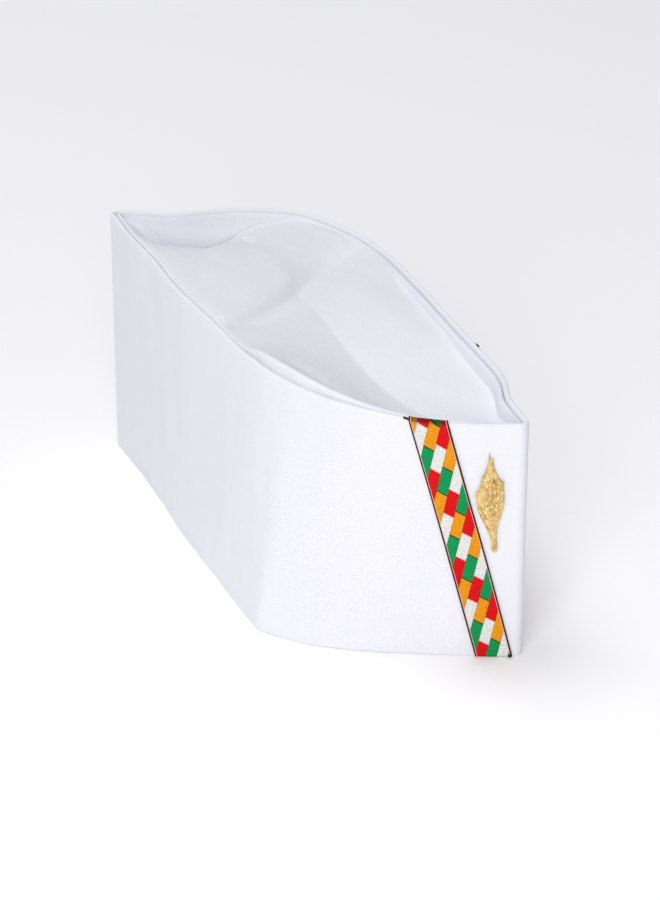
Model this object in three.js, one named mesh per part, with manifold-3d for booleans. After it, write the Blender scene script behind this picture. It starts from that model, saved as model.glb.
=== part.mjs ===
// A white cotton folding cap: a boat-shaped, double-cloth band with a sunken, creased crown
// inside it, a woven ribbon slanting down each side and a pressed metal leaf by the front fold.
// Millimetres. +Z up, the hem stands on z = 0, the front fold points to -Y, the back fold to
// +Y, and +X is the wearer's left. The origin is the middle of the footprint box at the hem.
import * as THREE from "three";
import { mergeVertices } from "three/addons/utils/BufferGeometryUtils.js";
import Module from "manifold-3d";

const wasm = await Module();
wasm.setup();

// Driving sizes
const RIM_FRONT = 96.4;         // height of the rim at the front fold
const RIM_BACK = 105.8;         // height of the rim at the back fold
const HALF_LENGTH = 127.9;      // where those two heights are measured, from the middle
const FOLD_RADIUS = 3.7;        // outside radius of the two upright end folds
const BAND_THICK = 2.0;         // two layers of cotton
const CROWN_THICK = 1.1;        // one layer of cotton
const GAP = 0.3;                // between neighbouring pieces
const LIP_RADIUS = FOLD_RADIUS - BAND_THICK - GAP;   // the crown's rolled upper edge
const RIBBON_THICK = 0.6;
const RIBBON_WIDE = 14;
const LEAF_THICK = 1.3;
const POST_RADIUS = 0.7;
const POST_HOLE = 1.0;
const CLUTCH_RADIUS = 3.6;
const CLUTCH_THICK = 0.7;
const RECESS_RADIUS = 4.0;
const RECESS_DEPTH = 1.05;
const CENTRE = [4.2, 0.25];     // moves the footprint's middle to the origin

// The core line of the standing wall, seen from above, from the front fold (share 0) to the
// back fold (share 1). The wall's faces lie outside it by the offsets used below. "mid" is
// the line along which the crown is pressed in.
const OUTLINE = [
  // share  nearHem x, y    nearRim x, y    farHem x, y     farRim x, y     mid x, y
  [0.00,    0.7, -122.6,    0.9, -122.8,    0.7, -122.6,    0.9, -122.8,    0.9, -122.8],
  [0.07,  -12.8, -110.5,  -13.2, -112.3,    4.6, -105.5,    8.9, -105.5,   -3.5, -109.0],
  [0.13,  -25.0,  -99.0,  -24.4, -100.4,   10.1,  -89.5,   19.0,  -91.2,   -6.0,  -95.0],
  [0.20,  -38.8,  -84.8,  -33.4,  -84.2,   17.1,  -71.2,   26.8,  -72.6,   -7.2,  -78.0],
  [0.27,  -50.6,  -69.2,  -39.9,  -66.6,   24.2,  -52.9,   33.6,  -53.0,   -5.0,  -59.0],
  [0.32,  -56.4,  -56.5,  -42.4,  -53.0,   29.3,  -39.9,   38.8,  -39.0,   -2.4,  -44.0],
  [0.345, -58.9,  -48.4,  -42.9,  -45.9,   31.8,  -33.4,   41.4,  -32.0,   -0.8,  -36.9],
  [0.37,  -57.2,  -41.8,  -42.9,  -38.8,   34.3,  -26.8,   44.0,  -25.1,    1.0,  -30.0],
  [0.46,  -49.4,  -18.3,  -39.6,  -15.4,   42.7,   -3.0,   53.3,   -0.2,    7.2,   -8.0],
  [0.55,  -41.6,    5.6,  -33.2,    8.2,   50.5,   21.0,   61.1,   25.0,   14.6,   16.5],
  [0.64,  -33.3,   29.4,  -27.4,   32.2,   56.2,   45.0,   65.4,   51.2,   20.0,   40.0],
  [0.73,  -24.3,   53.0,  -21.0,   55.6,   51.0,   68.9,   61.1,   77.0,   19.0,   64.0],
  [0.82,  -15.3,   76.4,  -13.0,   78.4,   35.3,   88.9,   45.6,   96.6,   15.0,   87.0],
  [0.91,   -7.0,  100.4,   -6.2,  101.4,   17.5,  106.4,   21.6,  108.0,    6.0,  106.0],
  [1.00,    0.0,  122.5,    0.0,  122.5,    0.0,  122.5,    0.0,  122.5,    0.0,  122.5],
];
const COLUMNS = { nearHem: 1, nearRim: 3, farHem: 5, farRim: 7, mid: 9 };

// How far the top of the crown lies under the rim, on five lines from the near edge to the
// far edge. A negative depth stands above the rim.
const SINK = [
  // share   near edge   near half   mid    far half   far edge
  [0.00,      3.0,        3.0,       3.0,    3.0,       3.0],
  [0.07,      0.5,        3.5,       7.0,    8.0,       8.0],
  [0.13,      0.3,        6.0,      10.5,    8.5,       6.8],
  [0.20,     -0.4,        8.0,      13.0,    9.0,       6.5],
  [0.27,     -2.2,        7.0,      13.0,    8.3,       5.0],
  [0.32,     -3.4,        5.8,      12.0,    7.2,       4.0],
  [0.37,     -3.9,        4.5,      10.5,    6.0,       3.2],
  [0.42,     -3.2,        3.9,       8.7,    4.6,       2.4],
  [0.47,     -0.3,        3.6,       6.9,    3.3,       1.7],
  [0.52,      1.2,        4.0,       6.2,    2.8,       0.9],
  [0.55,      0.8,        5.2,       6.2,    3.2,       0.8],
  [0.58,      0.3,        2.6,       7.0,    5.0,       1.0],
  [0.61,      0.2,        0.8,       3.4,    6.2,       1.6],
  [0.66,      0.2,        0.2,       1.6,    3.6,       1.6],
  [0.75,      0.2,        0.6,       2.4,    3.6,       2.6],
  [0.82,      0.2,        1.6,       4.8,    6.6,       6.0],
  [0.87,      0.2,        2.8,       7.4,   12.5,      18.0],
  [0.91,      0.2,        3.2,       7.6,   12.0,      17.0],
  [0.96,      0.2,        2.0,       4.0,    6.0,       7.5],
  [1.00,      0.2,        0.2,       0.2,    0.2,       0.2],
];

// Where the wall is sampled along its length, and how the end folds are turned.
const SHARES = [
  0.0, 0.03, 0.06, 0.09, 0.12, 0.15, 0.18, 0.21, 0.24, 0.27, 0.30, 0.33, 0.36, 0.39, 0.42,
  0.45, 0.48, 0.51, 0.53, 0.55, 0.565, 0.58, 0.595, 0.61, 0.64, 0.67, 0.71, 0.75, 0.79, 0.82, 0.85, 0.88, 0.91, 0.94,
  0.97, 1.0,
];
const FOLD_STEPS = 5;
const WALL_RINGS = [0, 0.25, 0.5, 0.75];    // shares of the wall's height

// A smooth curve through one column of a table whose first column grows.
function along(table, share, column) {
  const last = table.length - 1;
  const s = Math.min(Math.max(share, table[0][0]), table[last][0]);
  let i = 0;
  while (i < last - 1 && s >= table[i + 1][0]) i += 1;
  const rise = (k) => (table[k + 1][column] - table[k][column]) / (table[k + 1][0] - table[k][0]);
  const slope = (k) => {
    if (k === 0) return rise(0);
    if (k === last) return rise(last - 1);
    const before = table[k][0] - table[k - 1][0];
    const after = table[k + 1][0] - table[k][0];
    return (rise(k - 1) * after + rise(k) * before) / (before + after);
  };
  const width = table[i + 1][0] - table[i][0];
  const t = (s - table[i][0]) / width;
  return (2 * t ** 3 - 3 * t ** 2 + 1) * table[i][column]
    + (t ** 3 - 2 * t ** 2 + t) * width * slope(i)
    + (3 * t ** 2 - 2 * t ** 3) * table[i + 1][column]
    + (t ** 3 - t ** 2) * width * slope(i + 1);
}

const point = (name, share) => new THREE.Vector2(
  along(OUTLINE, share, COLUMNS[name]),
  along(OUTLINE, share, COLUMNS[name] + 1),
);

const rimHeight = (y) => THREE.MathUtils.lerp(
  RIM_FRONT, RIM_BACK, (y + HALF_LENGTH) / (2 * HALF_LENGTH));

// The outward direction of one side, seen from above.
function outward(side, share) {
  const a = Math.max(share - 0.004, 0);
  const b = Math.min(share + 0.004, 1);
  const run = (edge) => point(side + edge, b).sub(point(side + edge, a));
  const turn = (v) => (side === "near" ? new THREE.Vector2(-v.y, v.x) : new THREE.Vector2(v.y, -v.x));
  return { hem: turn(run("Hem")).normalize(), rim: turn(run("Rim")).normalize() };
}

// The stations round the wall: up the near side, round the back fold, down the far side and
// round the front fold.
function makeStations() {
  const stations = [];
  const add = (side, share, turn) => stations.push({
    side, share,
    hem: point(side + "Hem", share),
    rim: point(side + "Rim", share),
    turn,
  });
  const fold = (share, from, to) => {
    const a = outward(from, share);
    const b = outward(to, share);
    for (let k = 1; k <= FOLD_STEPS; k += 1) {
      const swing = (p, q) => {
        const whole = Math.atan2(p.x * q.y - p.y * q.x, p.dot(q));
        return p.clone().rotateAround(new THREE.Vector2(), whole * k / (FOLD_STEPS + 1));
      };
      add(k * 2 <= FOLD_STEPS ? from : to, share, { hem: swing(a.hem, b.hem), rim: swing(a.rim, b.rim) });
    }
  };
  for (const share of SHARES) add("near", share, outward("near", share));
  fold(1, "near", "far");
  for (const share of [...SHARES].reverse()) add("far", share, outward("far", share));
  fold(0, "far", "near");
  return stations;
}
const STATIONS = makeStations();

// A point of the wall: up is the share of the rim's height, off the distance from the core.
function wallPoint(station, up, off) {
  const core = station.hem.clone().lerp(station.rim, up);
  const turn = station.turn.hem.clone().lerp(station.turn.rim, up).normalize();
  core.addScaledVector(turn, off);
  return new THREE.Vector3(core.x, core.y, up * rimHeight(station.rim.y));
}
// Where the flat wall ends and the round rim begins.
const wallTop = (station) => 1 - BAND_THICK / 2 / rimHeight(station.rim.y);
const stationAt = (side, share) => ({
  side, share,
  hem: point(side + "Hem", share),
  rim: point(side + "Rim", share),
  turn: outward(side, share),
});

// A closed body from grids of points: neighbours are joined by two triangles that share the
// rising diagonal, equal points are one vertex, and the faces are turned to point out.
function bodyFromGrids(grids) {
  const keys = new Map();
  const spots = [];
  const index = (p) => {
    const key = `${p.x.toFixed(4)},${p.y.toFixed(4)},${p.z.toFixed(4)}`;
    if (!keys.has(key)) {
      keys.set(key, spots.length / 3);
      spots.push(p.x - CENTRE[0], p.y - CENTRE[1], p.z);
    }
    return keys.get(key);
  };
  const faces = [];
  const triangle = (a, b, c) => {
    if (a !== b && b !== c && c !== a) faces.push(a, b, c);
  };
  for (const { rows, closed } of grids) {
    for (let i = 0; i + 1 < rows.length; i += 1) {
      const count = rows[i].length;
      for (let j = 0; j < (closed ? count : count - 1); j += 1) {
        const k = (j + 1) % count;
        const [a, b, c, d] = [rows[i][j], rows[i][k], rows[i + 1][k], rows[i + 1][j]].map(index);
        if (rows[i][j].z <= rows[i + 1][j].z) {
          triangle(a, b, c);
          triangle(a, c, d);
        } else {
          triangle(a, b, d);
          triangle(b, c, d);
        }
      }
    }
  }
  let volume = 0;
  const at = (n) => new THREE.Vector3(spots[3 * n], spots[3 * n + 1], spots[3 * n + 2]);
  for (let n = 0; n < faces.length; n += 3) {
    volume += at(faces[n]).dot(at(faces[n + 1]).cross(at(faces[n + 2])));
  }
  if (volume < 0) faces.reverse();
  const geometry = new THREE.BufferGeometry();
  geometry.setAttribute("position", new THREE.Float32BufferAttribute(spots, 3));
  geometry.setIndex(faces);
  geometry.userData.vertexOf = index;
  return geometry;
}

// Band: a closed ring of wall with a round rim and a flat hem
function makeBand() {
  const half = BAND_THICK / 2;
  const rings = [];
  const ring = (place) => rings.push(STATIONS.map(place));
  const heights = [...WALL_RINGS, 1];
  for (const h of heights) ring((s) => wallPoint(s, h * wallTop(s), FOLD_RADIUS));
  for (const angle of [45, 90, 135]) {
    const a = THREE.MathUtils.degToRad(angle);
    ring((s) => wallPoint(
      s,
      wallTop(s) + half * Math.sin(a) / rimHeight(s.rim.y),
      FOLD_RADIUS - half + half * Math.cos(a),
    ));
  }
  for (const h of [...heights].reverse()) {
    ring((s) => wallPoint(s, h * wallTop(s), FOLD_RADIUS - BAND_THICK));
  }
  rings.push(rings[0]);
  return bodyFromGrids([{ rows: rings, closed: true }]);
}

// Crown: side walls inside the band, a rolled edge, and the pressed-in top
function sink(side, share, out) {
  const [half, edge] = side === "near" ? [2, 1] : [4, 5];
  const m = along(SINK, share, 3);
  const h = along(SINK, share, half);
  const e = along(SINK, share, edge);
  return m * (1 - out) * (1 - 2 * out) + h * 4 * out * (1 - out) + e * out * (2 * out - 1);
}

function crownTop(station, out) {
  const edge = point(`${station.side}Rim`, station.share);
  const spot = point("mid", station.share).lerp(edge, out);
  return new THREE.Vector3(spot.x, spot.y, rimHeight(spot.y) - sink(station.side, station.share, out));
}

function makeCrown() {
  const rings = [];
  const lipUp = (s) => crownTop(s, 1).z / rimHeight(s.rim.y);
  const wallUp = (s) => lipUp(s) - LIP_RADIUS / rimHeight(s.rim.y);
  for (const h of WALL_RINGS) rings.push(STATIONS.map((s) => wallPoint(s, h * wallTop(s), LIP_RADIUS)));
  rings.push(STATIONS.map((s) => wallPoint(s, wallUp(s), LIP_RADIUS)));
  for (const angle of [30, 60]) {
    const a = THREE.MathUtils.degToRad(angle);
    rings.push(STATIONS.map((s) => wallPoint(
      s, wallUp(s) + LIP_RADIUS * Math.sin(a) / rimHeight(s.rim.y), LIP_RADIUS * Math.cos(a))));
  }
  for (const out of [1, 0.88, 0.72, 0.54, 0.36, 0.18, 0]) rings.push(STATIONS.map((s) => crownTop(s, out)));
  // the inner face lies one cloth thickness behind the outer one
  const skin = bodyFromGrids([{ rows: rings, closed: true }]);
  skin.computeVertexNormals();
  const normals = skin.attributes.normal;
  const inner = rings.map((row, i) => row.map((p) => {
    const normal = new THREE.Vector3().fromBufferAttribute(normals, skin.userData.vertexOf(p));
    const q = p.clone().addScaledVector(normal, -CROWN_THICK);
    if (i === 0) q.z = 0;
    return q;
  }));
  return bodyFromGrids([
    { rows: rings, closed: true },
    { rows: [inner[0], rings[0]], closed: true },
    { rows: [...inner].reverse(), closed: true },
  ]);
}

// How many millimetres of wall one whole share would be, at this share and height.
function pace(side, share, rise) {
  const hem = point(`${side}Hem`, share + 0.01).sub(point(`${side}Hem`, share - 0.01));
  const rim = point(`${side}Rim`, share + 0.01).sub(point(`${side}Rim`, share - 0.01));
  return hem.lerp(rim, rise).length() / 0.02;
}

// Ribbon: a woven tape slanting forward from rim to hem, bent over the rim
function makeRibbon({ side, rimShare, hemShare, bend }) {
  const half = BAND_THICK / 2;
  const across = [-1, -0.5, 0, 0.5, 1];
  const layers = [GAP, GAP + RIBBON_THICK].map((lift) => {
    const rows = [];
    for (let k = 0; k <= 12; k += 1) {
      const rise = 0.004 + (1 - 0.004) * k / 12;
      const share = THREE.MathUtils.lerp(hemShare, rimShare, rise);
      rows.push(across.map((a) => {
        const station = stationAt(side, share + a * RIBBON_WIDE / 2 / pace(side, share, rise));
        return wallPoint(station, rise * (1 - half / rimHeight(station.rim.y)), FOLD_RADIUS + lift);
      }));
    }
    for (const angle of bend) {
      const turn = THREE.MathUtils.degToRad(angle);
      rows.push(across.map((a) => {
        const station = stationAt(side, rimShare + a * RIBBON_WIDE / 2 / pace(side, rimShare, 1));
        const tall = rimHeight(station.rim.y);
        return wallPoint(
          station,
          1 + (-half + (half + lift) * Math.sin(turn)) / tall,
          FOLD_RADIUS - half + (half + lift) * Math.cos(turn),
        );
      }));
    }
    return rows;
  });
  const [under, over] = layers;
  const rows = under.map((row, i) => [...row, ...[...over[i]].reverse()]);
  const cap = (row) => [row.slice(0, across.length), row.slice(across.length).reverse()];
  return bodyFromGrids([
    { rows, closed: true },
    { rows: cap(rows[0]).reverse(), closed: false },
    { rows: cap(rows[rows.length - 1]), closed: false },
  ]);
}

// Leaf badge: a pressed leaf plate with a round post behind it
// Both edges of the leaf from the stem's foot up: height, distance from the long axis.
const LEAF_FRONT = [[0, 0.7], [1, 1.2], [4, 1.15], [7.6, 1.1], [10.3, 1.6], [13.3, 2.5], [15.7, 3.25],
  [19, 4.1], [22.4, 4.5], [25.4, 4.65], [29, 4.4], [29, 3.4], [31.3, 2.4], [33.4, 1.55], [36, 1.0], [38.6, 0.8],
  [40.8, 0.25]];
const LEAF_REAR = [[0, 0.7], [1, 0.95], [3.3, 0.87], [6.3, 1.15], [8.6, 1.9], [11, 2.9], [13.3, 3.9],
  [15.4, 4.8], [17.4, 5.5], [20, 6.05], [23, 6.3], [24.9, 6.5], [24.9, 5.2], [27.1, 4.6], [29.6, 4.0],
  [31.4, 3.7], [31.6, 2.9], [34.3, 1.9], [36.7, 1.15], [38.6, 0.8], [40.8, 0.25]];
const LEAF_SHARE = 0.0345;      // of the near side, from the front fold
const LEAF_FOOT = 45.0;         // height of the stem's foot above the hem
const LEAF_LEAN = 3.6;          // degrees, the tip leans to the rear
const POST_UP = 19;             // height of the post up the leaf's axis

function leafFrame() {
  const station = stationAt("near", LEAF_SHARE);
  const low = wallPoint(station, 0.45, FOLD_RADIUS);
  const high = wallPoint(station, 0.90, FOLD_RADIUS);
  const ahead = wallPoint(stationAt("near", LEAF_SHARE - 0.02), 0.67, FOLD_RADIUS);
  const behind = wallPoint(stationAt("near", LEAF_SHARE + 0.03), 0.67, FOLD_RADIUS);
  const up = high.clone().sub(low).normalize();
  const front = ahead.clone().sub(behind).normalize();
  const out = front.clone().cross(up).negate().normalize();
  const centre = wallPoint(station, 0.68, FOLD_RADIUS);
  if (out.dot(new THREE.Vector3(station.turn.rim.x, station.turn.rim.y, 0)) < 0) out.negate();
  return { up, front: up.clone().cross(out).normalize(), out, centre };
}

function placeOnWall(mesh, lift) {
  const frame = leafFrame();
  const basis = new THREE.Matrix4().makeBasis(frame.front, frame.up, frame.out);
  if (basis.determinant() < 0) basis.makeBasis(frame.front.clone().negate(), frame.up, frame.out);
  mesh.quaternion.setFromRotationMatrix(basis);
  const spot = frame.centre.clone().addScaledVector(frame.out, lift);
  spot.addScaledVector(frame.up, LEAF_FOOT - frame.centre.z + POST_UP);
  mesh.position.set(spot.x - CENTRE[0], spot.y - CENTRE[1], spot.z);
}

// Solids are joined and cut with the manifold library.
function toSolid(geometry) {
  const bare = new THREE.BufferGeometry();
  bare.setAttribute("position", geometry.attributes.position.clone());
  if (geometry.index) bare.setIndex(geometry.index.clone());
  const merged = mergeVertices(bare, 1e-4);
  return new wasm.Manifold(new wasm.Mesh({
    numProp: 3,
    vertProperties: new Float32Array(merged.attributes.position.array),
    triVerts: new Uint32Array(merged.index.array),
  }));
}

function toGeometry(solid) {
  const mesh = solid.getMesh();
  const geometry = new THREE.BufferGeometry();
  geometry.setAttribute("position", new THREE.BufferAttribute(mesh.vertProperties, 3));
  geometry.setIndex(new THREE.BufferAttribute(mesh.triVerts, 1));
  return geometry;
}

// A round bar along the leaf's own normal, between two distances from the wall's outer face.
function bar(radius, from, to, sides) {
  const geometry = new THREE.CylinderGeometry(radius, radius, to - from, sides);
  geometry.rotateX(Math.PI / 2);
  geometry.translate(0, 0, (from + to) / 2);
  return geometry;
}

function onWall(geometry, lift = 0) {
  const holder = new THREE.Object3D();
  placeOnWall(holder, lift);
  holder.updateMatrix();
  return geometry.clone().applyMatrix4(holder.matrix);
}

const LEAF_LIFT = 0.55;         // clear of the slightly hollow wall behind it
function makeLeaf() {
  const frontIsPlus = leafFrame().front.clone().cross(leafFrame().up).dot(leafFrame().out) > 0;
  const sign = frontIsPlus ? 1 : -1;
  const shape = new THREE.Shape();
  const edge = [
    ...LEAF_FRONT.map(([h, w]) => [sign * w, h - POST_UP]),
    ...[...LEAF_REAR].reverse().map(([h, w]) => [-sign * w, h - POST_UP]),
  ];
  shape.moveTo(...edge[0]);
  for (const spot of edge.slice(1)) shape.lineTo(...spot);
  shape.closePath();
  const plate = new THREE.ExtrudeGeometry(shape, {
    depth: LEAF_THICK - 0.3, bevelEnabled: true, bevelThickness: 0.3, bevelSize: 0.2,
    bevelOffset: -0.2, bevelSegments: 1,
  });
  plate.translate(0, 0, LEAF_LIFT);
  plate.rotateZ(THREE.MathUtils.degToRad(sign * LEAF_LEAN));
  const post = bar(POST_RADIUS, -BAND_THICK + 0.15, LEAF_LIFT + 0.6, 24);
  return toGeometry(toSolid(plate).add(toSolid(post)));
}

// Badge clutch: a plain ring on the post, in a shallow recess of the band's inner face
function makeClutch() {
  const hole = bar(POST_RADIUS + 0.2, -3, 0, 24);
  const disc = bar(CLUTCH_RADIUS, -BAND_THICK + 0.1, -BAND_THICK + 0.1 + CLUTCH_THICK, 40);
  return toGeometry(toSolid(disc).subtract(toSolid(hole)));
}

// The cap
const cap = new THREE.Group();
cap.name = "folding_cap";
function addPiece(name, geometry, look) {
  const mesh = new THREE.Mesh(geometry, new THREE.MeshStandardMaterial(look));
  mesh.name = name;
  cap.add(mesh);
  return mesh;
}
const COTTON = { color: 0xf1f0f6, roughness: 0.9, metalness: 0 };

const passage = toSolid(onWall(bar(POST_HOLE, -BAND_THICK - 2, 3, 24)));
const recess = toSolid(onWall(bar(RECESS_RADIUS, -BAND_THICK - 2, -BAND_THICK + RECESS_DEPTH, 40)));
const band = toSolid(makeBand()).subtract(passage).subtract(recess);

addPiece("band", toGeometry(band), COTTON);
addPiece("crown", makeCrown(), COTTON);
addPiece("ribbon_right", makeRibbon({ side: "near", rimShare: 0.1245, hemShare: 0.0265, bend: [30, 60, 90] }),
  { color: 0xd9582b, roughness: 0.55, metalness: 0 });
addPiece("ribbon_left", makeRibbon({ side: "far", rimShare: 0.212, hemShare: 0.128, bend: [25, 50] }),
  { color: 0xd9582b, roughness: 0.55, metalness: 0 });
placeOnWall(addPiece("leaf_badge", makeLeaf(), { color: 0xd9b55c, roughness: 0.35, metalness: 1 }), 0);
placeOnWall(addPiece("badge_clutch", makeClutch(), { color: 0xb8bcc2, roughness: 0.4, metalness: 1 }), 0);

export default cap;
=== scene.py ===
# %% [markdown]
# # A white cotton folding cap
# The real cap is a light, boat-shaped cap of white cotton twill that folds flat for the pocket.
# Its wall is a band of doubled cloth with a sharp fold in front and one behind, and the crown
# is one layer of the same cloth, sewn inside the band and pressed down into it. A woven ribbon
# slants down each side, and a small pressed brass leaf is pinned by the front fold.
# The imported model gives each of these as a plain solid, with its place and its size. This
# lesson dresses the solids one after the other and leaves their places as they are.

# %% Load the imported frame
import math
from functools import partial

import bpy
from mathutils import Matrix, Vector, noise


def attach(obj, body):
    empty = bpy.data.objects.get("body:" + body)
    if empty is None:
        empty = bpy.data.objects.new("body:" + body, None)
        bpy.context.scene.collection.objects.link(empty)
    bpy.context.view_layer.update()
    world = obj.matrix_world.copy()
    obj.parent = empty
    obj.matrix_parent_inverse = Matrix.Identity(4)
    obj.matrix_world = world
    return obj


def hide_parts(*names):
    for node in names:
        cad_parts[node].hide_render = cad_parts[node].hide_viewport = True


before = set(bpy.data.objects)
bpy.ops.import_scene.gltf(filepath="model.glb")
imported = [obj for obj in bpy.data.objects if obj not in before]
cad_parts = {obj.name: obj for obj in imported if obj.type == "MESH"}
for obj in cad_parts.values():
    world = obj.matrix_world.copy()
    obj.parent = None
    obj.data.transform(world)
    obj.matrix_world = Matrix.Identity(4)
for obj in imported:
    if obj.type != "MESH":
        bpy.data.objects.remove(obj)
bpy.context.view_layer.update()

# %% [markdown]
# ## The camera
# The cap was photographed from in front of its right side, a little above it, with a long lens
# that keeps its edges nearly parallel. A camera can be turned by angles or aimed at a point.
# Aiming it is easier to check: the direction from the camera to the aim becomes its view axis.

# %% The camera
CAMERA_SPOT = Vector((-0.7155, -0.8690, 0.5645))
CAMERA_AIM = Vector((-0.0103, -0.0233, 0.0510))
LENS_MM = 123.5
SENSOR_MM = 36


def turn_towards(spot, aim):
    """The turn that points a camera or a lamp from spot at aim."""
    return (Vector(aim) - Vector(spot)).to_track_quat("-Z", "Y").to_euler()


bpy.ops.object.select_all(action="DESELECT")
bpy.ops.object.camera_add(location=CAMERA_SPOT)
camera = bpy.context.active_object
camera.name = "photo_camera"
camera.rotation_euler = turn_towards(CAMERA_SPOT, CAMERA_AIM)
camera.data.lens = LENS_MM
camera.data.sensor_width = SENSOR_MM
bpy.context.scene.camera = camera
print("camera stands", round((CAMERA_AIM - CAMERA_SPOT).length, 3), "m from its aim")

# %% [markdown]
# ## Floor and light
# White cloth on a white floor is all about soft shade. One lamp stands low beside the front of
# the cap, so the wall is bright in front and greyer towards the back, and the folds of the
# crown that turn away from it go soft grey. A large lamp overhead lights crown and floor alike,
# and a pale world and a faintly glowing floor fill the shadows. The plain Standard view keeps
# white cotton white; the filmic one would turn it grey.

# %% Floor and light
def add_lamp(name, spot, aim, size, power, colour):
    """A square lamp at spot that shines at aim."""
    bpy.ops.object.light_add(type="AREA", location=spot)
    lamp = bpy.context.active_object
    lamp.name = name
    lamp.data.shape = "SQUARE"
    lamp.data.size = size
    lamp.data.energy = power
    lamp.data.color = colour
    lamp.rotation_euler = turn_towards(spot, aim)


bpy.context.scene.view_settings.view_transform = "Standard"
bpy.ops.mesh.primitive_plane_add(size=8, location=(0, 0, 0))
floor = bpy.context.active_object
floor.name = "studio_floor"
floor_paint = bpy.data.materials.new("floor_paint")
floor_paint.use_nodes = True
paint = floor_paint.node_tree.nodes["Principled BSDF"]
paint.inputs["Base Color"].default_value = (0.95, 0.95, 0.955, 1)
paint.inputs["Roughness"].default_value = 0.9
paint.inputs["Emission Color"].default_value = (1.0, 1.0, 1.0, 1)
paint.inputs["Emission Strength"].default_value = 0.09
floor.data.materials.append(floor_paint)

add_lamp("front_lamp", (-0.74, -0.68, 0.56), (0, -0.05, 0.05), 0.55, 5.9, (1.0, 0.99, 0.98))
add_lamp("top_lamp", (-0.1, 0.9, 2.9), (0, 0, 0.05), 1.7, 37, (0.97, 0.975, 1.0))
world = bpy.data.worlds.new("studio_air")
world.use_nodes = True
air = world.node_tree.nodes["Background"]
air.inputs["Color"].default_value = (0.935, 0.94, 1.0, 1)
air.inputs["Strength"].default_value = 0.38
bpy.context.scene.world = world

# %% [markdown]
# ## The cap's own curves
# The wall is not a plain oval. Seen from above, its near side bulges out low down, where the
# cloth has a soft corner, and its far side has a kink near the back. A pattern maker would note
# a few points along the hem and along the rim and draw a fair curve through them. The same is
# done here: a short table holds the points in millimetres, from the front fold (share 0) to
# the back fold (share 1), and one small function draws the curve.

# %% The cap's own curves
MM = 0.001
MIDDLE = Vector((4.2, 0.25))
RIM_FRONT = 96.4
RIM_BACK = 105.8
HALF_LENGTH = 127.9
BACK_LIFT = 1.3       # how far the rim rises above its straight line at the back fold
KINK_LIFT = 0.8       # the same at the kink of the far side
KINK_SHARE = 0.73
KINK_WIDTH = 0.055

OUTLINE = [
    # share  near hem x, y    near rim x, y    far hem x, y     far rim x, y     middle x, y
    [0.00,    0.7, -122.6,    0.9, -122.8,    0.7, -122.6,    0.9, -122.8,    0.9, -122.8],
    [0.07,  -12.8, -110.5,  -13.2, -112.3,    4.6, -105.5,    8.9, -105.5,   -3.5, -109.0],
    [0.13,  -25.0,  -99.0,  -24.4, -100.4,   10.1,  -89.5,   19.0,  -91.2,   -6.0,  -95.0],
    [0.20,  -38.8,  -84.8,  -33.4,  -84.2,   17.1,  -71.2,   26.8,  -72.6,   -7.2,  -78.0],
    [0.27,  -50.6,  -69.2,  -39.9,  -66.6,   24.2,  -52.9,   33.6,  -53.0,   -5.0,  -59.0],
    [0.32,  -56.4,  -56.5,  -42.4,  -53.0,   29.3,  -39.9,   38.8,  -39.0,   -2.4,  -44.0],
    [0.345, -58.9,  -48.4,  -42.9,  -45.9,   31.8,  -33.4,   41.4,  -32.0,   -0.8,  -36.9],
    [0.37,  -57.2,  -41.8,  -42.9,  -38.8,   34.3,  -26.8,   44.0,  -25.1,    1.0,  -30.0],
    [0.46,  -49.4,  -18.3,  -39.6,  -15.4,   42.7,   -3.0,   53.3,   -0.2,    7.2,   -8.0],
    [0.55,  -41.6,    5.6,  -33.2,    8.2,   50.5,   21.0,   61.1,   25.0,   14.6,   16.5],
    [0.64,  -33.3,   29.4,  -27.4,   32.2,   56.2,   45.0,   65.4,   51.2,   20.0,   40.0],
    [0.73,  -24.3,   53.0,  -21.0,   55.6,   51.0,   68.9,   61.1,   77.0,   19.0,   64.0],
    [0.82,  -15.3,   76.4,  -13.0,   78.4,   35.3,   88.9,   45.6,   96.6,   15.0,   87.0],
    [0.91,   -7.0,  100.4,   -6.2,  101.4,   17.5,  106.4,   21.6,  108.0,    6.0,  106.0],
    [1.00,    0.0,  122.5,    0.0,  122.5,    0.0,  122.5,    0.0,  122.5,    0.0,  122.5],
]
COLUMNS = {"near_hem": 1, "near_rim": 3, "far_hem": 5, "far_rim": 7, "middle": 9}


def along(table, share, column):
    """A fair curve through one column of a table whose first column grows."""
    last = len(table) - 1
    share = min(max(share, table[0][0]), table[last][0])
    i = 0
    while i < last - 1 and share >= table[i + 1][0]:
        i += 1

    def rise(k):
        return (table[k + 1][column] - table[k][column]) / (table[k + 1][0] - table[k][0])

    def slope(k):
        if k == 0:
            return rise(0)
        if k == last:
            return rise(last - 1)
        before = table[k][0] - table[k - 1][0]
        after = table[k + 1][0] - table[k][0]
        return (rise(k - 1) * after + rise(k) * before) / (before + after)

    width = table[i + 1][0] - table[i][0]
    t = (share - table[i][0]) / width
    return ((2 * t**3 - 3 * t**2 + 1) * table[i][column]
            + (t**3 - 2 * t**2 + t) * width * slope(i)
            + (3 * t**2 - 2 * t**3) * table[i + 1][column]
            + (t**3 - t**2) * width * slope(i + 1))


def spot_on(line, share):
    """A point of one of the table's lines, seen from above."""
    column = COLUMNS[line]
    return Vector((along(OUTLINE, share, column), along(OUTLINE, share, column + 1)))


def rim_height(y):
    """The rim's straight line, which rises from the front to the back."""
    return RIM_FRONT + (RIM_BACK - RIM_FRONT) * (y + HALF_LENGTH) / (2 * HALF_LENGTH)


print("near rim, half way along:", [round(v, 1) for v in spot_on("near_rim", 0.5)])

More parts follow.
